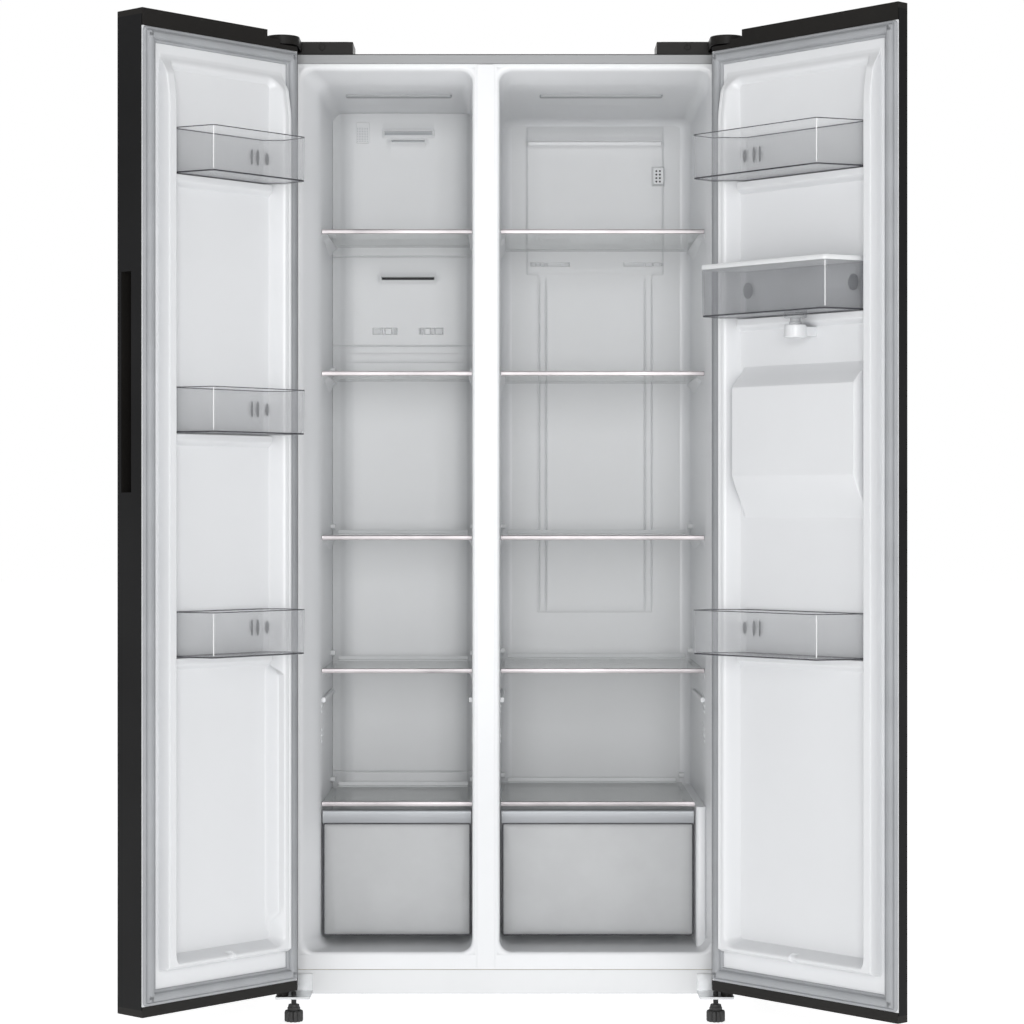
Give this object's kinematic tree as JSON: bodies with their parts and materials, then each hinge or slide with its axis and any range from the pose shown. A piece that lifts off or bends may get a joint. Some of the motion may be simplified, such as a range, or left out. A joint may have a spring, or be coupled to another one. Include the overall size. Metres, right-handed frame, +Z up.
{
  "type": "side by side refrigerator",
  "caption": "Side by side refrigerator standing with both doors open: freezer compartment on the left, fridge on the right, glass shelves, clear drawers, door bins and a door water tank.",
  "frame": {"origin": "on the floor under the middle of the cabinet's width and depth, the doors not counted", "axes": "+Z up, the cabinet's front and its open doors face -Y, the freezer is at -X and the fridge at +X"},
  "size_m": [1.34, 0.9777, 1.774],
  "materials": {
    "black_steel": "satin",
    "grey_steel": "satin",
    "rear_steel": "satin",
    "bright_rail": "satin",
    "foam": "matte",
    "liner_white": "satin",
    "cover_white": "satin",
    "light_white": "satin",
    "fins": "satin",
    "dark_fins": "satin",
    "fan_plastic": "matte",
    "motor_dark": "satin",
    "compressor_black": "satin",
    "pan_plastic": "matte",
    "board_cream": "matte",
    "black_plastic": "satin",
    "bracket_steel": "satin",
    "roller_plastic": "matte",
    "gasket_grey": "matte",
    "clear_bin": "gloss",
    "clear_tank": "gloss",
    "clear_drawer": "gloss",
    "shelf_glass": "gloss",
    "tray_grey": "satin"
  },
  "bodies": {
    "cabinet": {"outer_shell": "black_steel", "rear_panel": "rear_steel", "base_pan": "grey_steel", "cabinet_foam": "foam", "freezer_liner": "liner_white", "fridge_liner": "liner_white", "front_rails": "bright_rail", "plinth": "cover_white", "freezer_rear_cover": "cover_white", "fridge_duct_cover": "cover_white", "light_covers": "light_white", "evaporator": "fins", "fan_motors": "motor_dark", "compressor": "compressor_black", "condenser": "dark_fins", "drain_pan": "pan_plastic", "machine_cover": "rear_steel", "control_box": "board_cream", "power_inlet": "black_plastic", "hinge_brackets": "bracket_steel", "hinge_covers": "black_plastic"},
    "left_door": {"left_door_skin": "black_steel", "left_door_foam": "foam", "left_door_liner": "liner_white", "left_door_trim": "black_plastic", "left_door_gasket": "gasket_grey"},
    "right_door": {"right_door_skin": "black_steel", "right_door_foam": "foam", "right_door_liner": "liner_white", "right_door_trim": "black_plastic", "right_door_gasket": "gasket_grey", "dispenser_niche": "black_plastic"},
    "evaporator_fan": {"evaporator_fan": "fan_plastic"},
    "condenser_fan": {"condenser_fan": "fan_plastic"},
    "left_foot": {"left_foot": "roller_plastic"},
    "right_foot": {"right_foot": "roller_plastic"},
    "rear_rollers": {"rear_rollers": "roller_plastic"},
    "left_bin_1": {"left_bin_1": "clear_bin"},
    "left_bin_2": {"left_bin_2": "clear_bin"},
    "left_bin_3": {"left_bin_3": "clear_bin"},
    "right_bin_1": {"right_bin_1": "clear_bin"},
    "right_bin_2": {"right_bin_2": "clear_bin"},
    "water_tank": {"water_tank": "clear_tank"},
    "tank_lid": {"tank_lid": "cover_white"},
    "dispenser_paddle": {"dispenser_paddle": "tray_grey"},
    "drip_tray": {"drip_tray": "tray_grey"},
    "freezer_shelf_1": {"freezer_shelf_1": "shelf_glass"},
    "freezer_shelf_2": {"freezer_shelf_2": "shelf_glass"},
    "freezer_shelf_3": {"freezer_shelf_3": "shelf_glass"},
    "freezer_shelf_4": {"freezer_shelf_4": "shelf_glass"},
    "freezer_shelf_5": {"freezer_shelf_5": "shelf_glass"},
    "fridge_shelf_1": {"fridge_shelf_1": "shelf_glass"},
    "fridge_shelf_2": {"fridge_shelf_2": "shelf_glass"},
    "fridge_shelf_3": {"fridge_shelf_3": "shelf_glass"},
    "fridge_shelf_4": {"fridge_shelf_4": "shelf_glass"},
    "fridge_shelf_5": {"fridge_shelf_5": "shelf_glass"},
    "freezer_drawer": {"freezer_drawer": "clear_drawer"},
    "fridge_drawer": {"fridge_drawer": "clear_drawer"}
  },
  "joints": [
    {"name": "left_door_hinge", "type": "hinge", "parent": "cabinet", "child": "left_door", "pos_m": [-0.4, -0.3375, 0.9], "axis": [0, 0, -1], "range_deg": [-132.2, 0]},
    {"name": "right_door_hinge", "type": "hinge", "parent": "cabinet", "child": "right_door", "pos_m": [0.4, -0.3375, 0.9], "axis": [0, 0, 1], "range_deg": [-132.2, 0]},
    {"name": "freezer_shelf_1_slide", "type": "slide", "parent": "cabinet", "child": "freezer_shelf_1", "axis": [0, -1, 0], "range_m": [0, 0.17]},
    {"name": "freezer_shelf_2_slide", "type": "slide", "parent": "cabinet", "child": "freezer_shelf_2", "axis": [0, -1, 0], "range_m": [0, 0.17]},
    {"name": "freezer_shelf_3_slide", "type": "slide", "parent": "cabinet", "child": "freezer_shelf_3", "axis": [0, -1, 0], "range_m": [0, 0.17]},
    {"name": "freezer_shelf_4_slide", "type": "slide", "parent": "cabinet", "child": "freezer_shelf_4", "axis": [0, -1, 0], "range_m": [0, 0.17]},
    {"name": "freezer_shelf_5_slide", "type": "slide", "parent": "cabinet", "child": "freezer_shelf_5", "axis": [0, -1, 0], "range_m": [0, 0.17]},
    {"name": "freezer_drawer_slide", "type": "slide", "parent": "cabinet", "child": "freezer_drawer", "axis": [0, -1, 0], "range_m": [0, 0.16]},
    {"name": "fridge_shelf_1_slide", "type": "slide", "parent": "cabinet", "child": "fridge_shelf_1", "axis": [0, -1, 0], "range_m": [0, 0.17]},
    {"name": "fridge_shelf_2_slide", "type": "slide", "parent": "cabinet", "child": "fridge_shelf_2", "axis": [0, -1, 0], "range_m": [0, 0.17]},
    {"name": "fridge_shelf_3_slide", "type": "slide", "parent": "cabinet", "child": "fridge_shelf_3", "axis": [0, -1, 0], "range_m": [0, 0.17]},
    {"name": "fridge_shelf_4_slide", "type": "slide", "parent": "cabinet", "child": "fridge_shelf_4", "axis": [0, -1, 0], "range_m": [0, 0.17]},
    {"name": "fridge_shelf_5_slide", "type": "slide", "parent": "cabinet", "child": "fridge_shelf_5", "axis": [0, -1, 0], "range_m": [0, 0.17]},
    {"name": "fridge_drawer_slide", "type": "slide", "parent": "cabinet", "child": "fridge_drawer", "axis": [0, -1, 0], "range_m": [0, 0.16]},
    {"name": "left_bin_1_lift", "type": "slide", "parent": "left_door", "child": "left_bin_1", "axis": [0, 0, 1], "range_m": [0, 0.03]},
    {"name": "left_bin_2_lift", "type": "slide", "parent": "left_door", "child": "left_bin_2", "axis": [0, 0, 1], "range_m": [0, 0.03]},
    {"name": "left_bin_3_lift", "type": "slide", "parent": "left_door", "child": "left_bin_3", "axis": [0, 0, 1], "range_m": [0, 0.03]},
    {"name": "right_bin_1_lift", "type": "slide", "parent": "right_door", "child": "right_bin_1", "axis": [0, 0, 1], "range_m": [0, 0.03]},
    {"name": "right_bin_2_lift", "type": "slide", "parent": "right_door", "child": "right_bin_2", "axis": [0, 0, 1], "range_m": [0, 0.03]},
    {"name": "tank_lift", "type": "slide", "parent": "right_door", "child": "water_tank", "axis": [0, 0, 1], "range_m": [0, 0.02]},
    {"name": "tank_lid_lift", "type": "slide", "parent": "water_tank", "child": "tank_lid", "axis": [0, 0, 1], "range_m": [0, 0.04]},
    {"name": "paddle_hinge", "type": "hinge", "parent": "right_door", "child": "dispenser_paddle", "pos_m": [0.5218, -0.51053, 1.0832], "axis": [-0.6717, 0.7408, 0], "range_deg": [0, 10], "stiffness_Nm_per_rad": 0.05},
    {"name": "drip_tray_slide", "type": "slide", "parent": "right_door", "child": "drip_tray", "axis": [0.7408, 0.6717, 0], "range_m": [0, 0.06]},
    {"name": "evaporator_fan_spin", "type": "hinge", "parent": "cabinet", "child": "evaporator_fan", "pos_m": [-0.2004, 0.1375, 1.33362], "axis": [0, 1, 0], "continuous": true},
    {"name": "condenser_fan_spin", "type": "hinge", "parent": "cabinet", "child": "condenser_fan", "pos_m": [0.0795, 0.1595, 0.151], "axis": [1, 0, 0], "continuous": true},
    {"name": "left_foot_screw", "type": "hinge", "parent": "cabinet", "child": "left_foot", "pos_m": [-0.38, -0.3375, 0.01], "axis": [0, 0, 1], "continuous": true},
    {"name": "right_foot_screw", "type": "hinge", "parent": "cabinet", "child": "right_foot", "pos_m": [0.38, -0.3375, 0.01], "axis": [0, 0, 1], "continuous": true},
    {"name": "rear_rollers_spin", "type": "hinge", "parent": "cabinet", "child": "rear_rollers", "pos_m": [0, 0.2125, 0.018], "axis": [1, 0, 0], "continuous": true}
  ]
}
